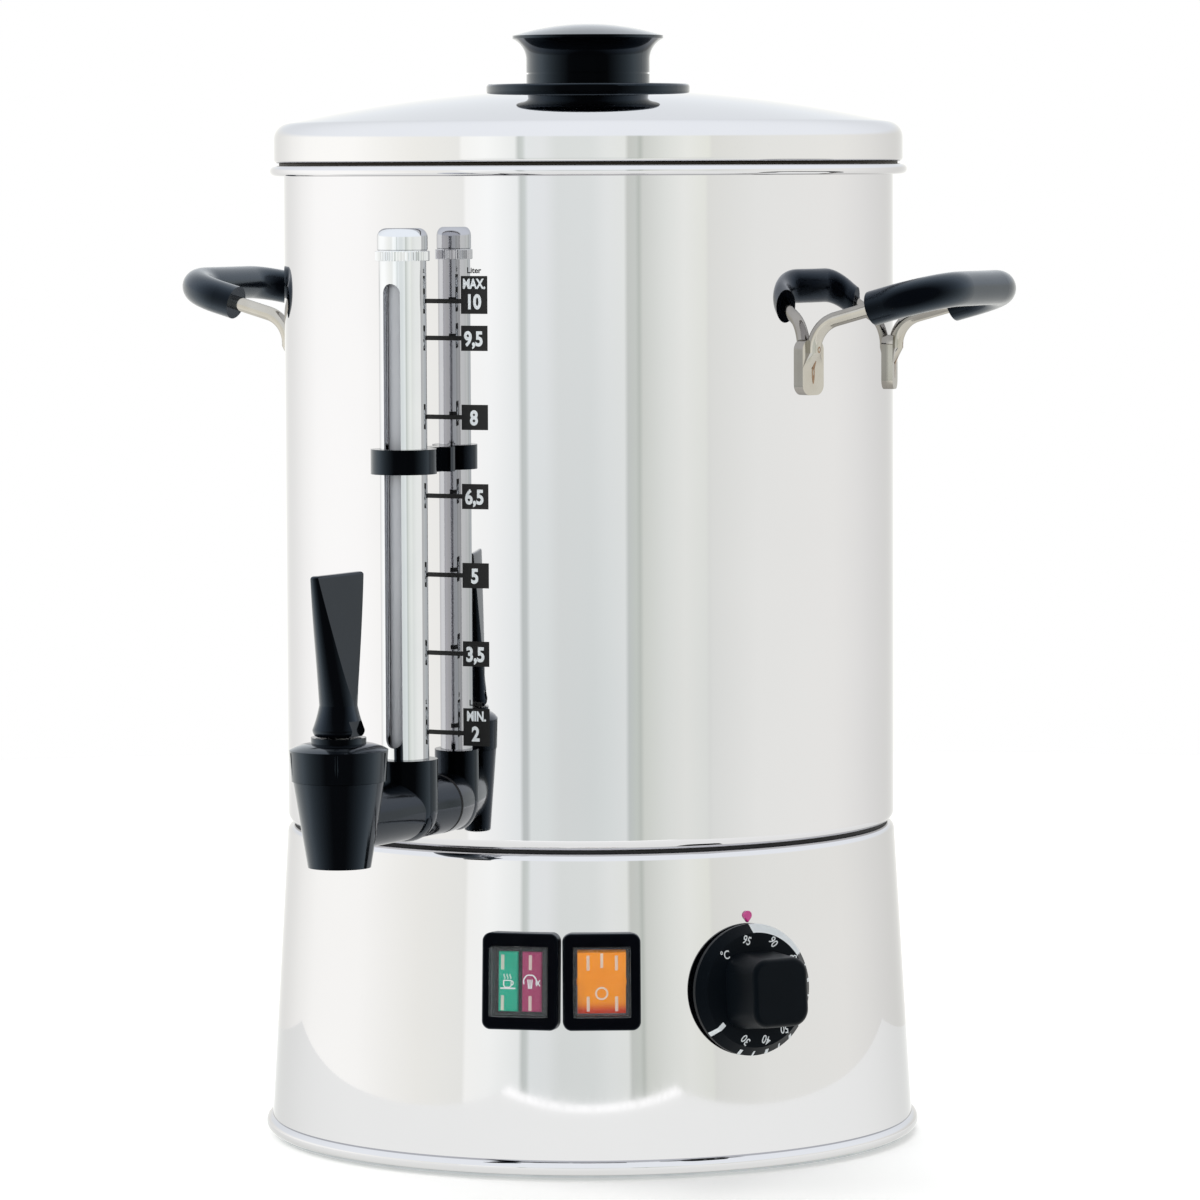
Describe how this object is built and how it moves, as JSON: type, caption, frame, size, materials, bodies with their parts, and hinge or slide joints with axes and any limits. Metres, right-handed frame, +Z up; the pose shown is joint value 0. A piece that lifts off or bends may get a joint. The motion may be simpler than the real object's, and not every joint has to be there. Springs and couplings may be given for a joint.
{
  "type": "hot water urn",
  "caption": "Cylindrical electric hot water urn with a domed lid, side handles, level gauge, tilt-lever tap, rocker switch, pilot lights and a thermostat dial.",
  "frame": {"origin": "on the surface that the urn stands on, where the vessel's axis meets it", "axes": "+Z up along the vessel's axis; the tap points to -Y; handles on +X and -X"},
  "size_m": [0.3662, 0.3632, 0.456],
  "materials": {
    "vessel_steel": "mirror-polished stainless steel",
    "base_steel": "mirror-polished stainless steel",
    "lid_steel": "mirror-polished stainless steel",
    "sheet_steel": "cold-rolled steel sheet",
    "zinc_steel": "bright zinc plating",
    "stainless_rod": "drawn stainless",
    "handle_steel": "polished stainless rod",
    "aluminium_plate": "as rolled",
    "element_sheath": "heat-tinted sheath",
    "copper_tube": "drawn copper",
    "chrome_plate": "bright chrome plating",
    "black_plastic": "gloss moulded",
    "grip_plastic": "satin moulded",
    "frame_plastic": "satin moulded",
    "dial_plastic": "matt moulded, white print",
    "housing_nylon": "moulded nylon",
    "white_nylon": "moulded nylon",
    "brown_phenolic": "moulded phenolic",
    "black_rubber": "moulded rubber",
    "silicone": "moulded silicone",
    "clear_glass": "clear glass tube",
    "clear_cover": "clear soft moulding",
    "green_lens": "translucent moulded",
    "red_lens": "translucent moulded",
    "orange_rocker": "translucent moulded",
    "marker_plastic": "gloss"
  },
  "bodies": {
    "root": {"vessel": "vessel_steel", "base_shell": "base_steel", "base_seal": "black_rubber", "base_plate": "sheet_steel", "base_feet": "black_rubber", "foot_screws": "zinc_steel", "tie_rods": "zinc_steel", "tie_rod_nuts": "zinc_steel", "heat_spreader": "aluminium_plate", "heating_element": "element_sheath", "clamp_plate": "sheet_steel", "clamp_studs": "zinc_steel", "clamp_nuts": "zinc_steel", "dry_boil_cutout": "brown_phenolic", "tap_body": "black_plastic", "tap_outer_seal": "silicone", "tap_inner_seal": "silicone", "tap_nut": "black_plastic", "tap_bonnet": "black_plastic", "gauge_glass": "clear_glass", "gauge_guard": "chrome_plate", "gauge_cap": "chrome_plate", "gauge_bottom_seal": "silicone", "gauge_top_seal": "silicone", "gauge_clip": "black_plastic", "right_handle_bracket": "handle_steel", "right_handle_grip": "grip_plastic", "left_handle_bracket": "handle_steel", "left_handle_grip": "grip_plastic", "pilot_frame": "frame_plastic", "switch_frame": "frame_plastic", "pilot_cover": "clear_cover", "switch_cover": "clear_cover", "pilot_housing": "housing_nylon", "switch_housing": "housing_nylon", "pilot_lens_green": "green_lens", "pilot_lens_red": "red_lens", "thermostat_body": "brown_phenolic", "thermostat_nut": "zinc_steel", "dial_marker": "marker_plastic", "thermostat_bulb": "copper_tube", "cable_gland": "black_plastic", "gland_nut": "black_plastic", "terminal_block": "white_nylon"},
    "lid": {"lid": "lid_steel", "lid_knob_washer": "black_plastic", "lid_knob": "black_plastic", "lid_knob_screw": "zinc_steel"},
    "valve": {"valve_stem": "stainless_rod", "valve_plug": "silicone", "valve_spring": "stainless_rod"},
    "lever": {"tap_lever": "black_plastic", "lever_pin": "stainless_rod"},
    "rocker": {"switch_rocker": "orange_rocker"},
    "dial": {"thermostat_knob": "dial_plastic", "thermostat_shaft": "zinc_steel"}
  },
  "joints": [
    {"name": "lid_lift", "type": "slide", "parent": "root", "child": "lid", "axis": [0, 0, 1], "range_m": [0, 0.08]},
    {"name": "valve_lift", "type": "slide", "parent": "root", "child": "valve", "axis": [0, 0, 1], "range_m": [0, 0.0055], "stiffness_N_per_m": 250, "springref_m": -0.004, "deforming": ["valve_spring"]},
    {"name": "lever_tilt", "type": "hinge", "parent": "valve", "child": "lever", "pos_m": [0, -0.198, 0.1845], "axis": [1, 0, 0], "range_deg": [0, 37]},
    {"name": "rocker_press", "type": "hinge", "parent": "root", "child": "rocker", "pos_m": [0.06639, -0.11049, 0.07845], "axis": [-0.8572, -0.515, 0], "range_deg": [0, 22]},
    {"name": "dial_turn", "type": "hinge", "parent": "root", "child": "dial", "pos_m": [0.10927, -0.06749, 0.0729], "axis": [0.8493, -0.5245, 0.0602], "range_deg": [0, 220]}
  ],
  "couplings": [
    {"joint": "lever_tilt", "follows": "valve_lift", "rad_per_m": 111.07}
  ]
}
